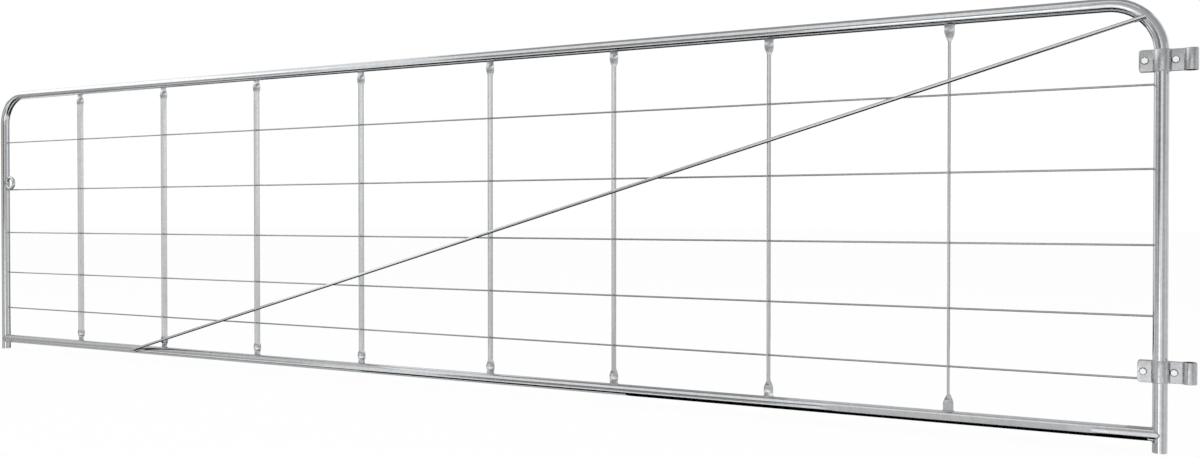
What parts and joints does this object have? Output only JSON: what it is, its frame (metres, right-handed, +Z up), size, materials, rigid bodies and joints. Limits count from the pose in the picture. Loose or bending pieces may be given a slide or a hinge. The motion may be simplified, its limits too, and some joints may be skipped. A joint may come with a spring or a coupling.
{
  "type": "field gate",
  "caption": "Galvanised tube-framed field gate leaf with twisted flat stays, wire infill, a diagonal brace rod, folded hinge straps with pin eyes and a welded latch ring.",
  "frame": {"origin": "on the hinge axis, at mid-height of the lower hinge eye", "axes": "+Z up along the hinge axis; the gate runs along -X from it; -Y is the front with the brace"},
  "size_m": [4.3294, 0.047, 1.0499],
  "materials": {
    "galvanised_steel": "hot-dip galvanised, semi-bright",
    "bright_zinc": "bright zinc plated"
  },
  "bodies": {
    "gate_leaf": {"frame_tube": "galvanised_steel", "bottom_rail": "galvanised_steel", "stay_1": "galvanised_steel", "stay_2": "galvanised_steel", "stay_3": "galvanised_steel", "stay_4": "galvanised_steel", "stay_5": "galvanised_steel", "stay_6": "galvanised_steel", "stay_7": "galvanised_steel", "stay_8": "galvanised_steel", "wire_1": "galvanised_steel", "wire_2": "galvanised_steel", "wire_3": "galvanised_steel", "wire_4": "galvanised_steel", "wire_5": "galvanised_steel", "diagonal_brace": "galvanised_steel", "latch_ring": "galvanised_steel"},
    "upper_strap": {"upper_hinge_strap": "galvanised_steel", "upper_strap_bolts": "bright_zinc", "upper_strap_nuts": "bright_zinc"},
    "lower_strap": {"lower_hinge_strap": "galvanised_steel", "lower_strap_bolts": "bright_zinc", "lower_strap_nuts": "bright_zinc"}
  },
  "joints": [
    {"name": "upper_strap_slide", "type": "slide", "parent": "gate_leaf", "child": "upper_strap", "axis": [0, 0, 1], "range_m": [-0.045, 0]},
    {"name": "lower_strap_slide", "type": "slide", "parent": "gate_leaf", "child": "lower_strap", "axis": [0, 0, 1], "range_m": [-0.01, 0.118]}
  ]
}
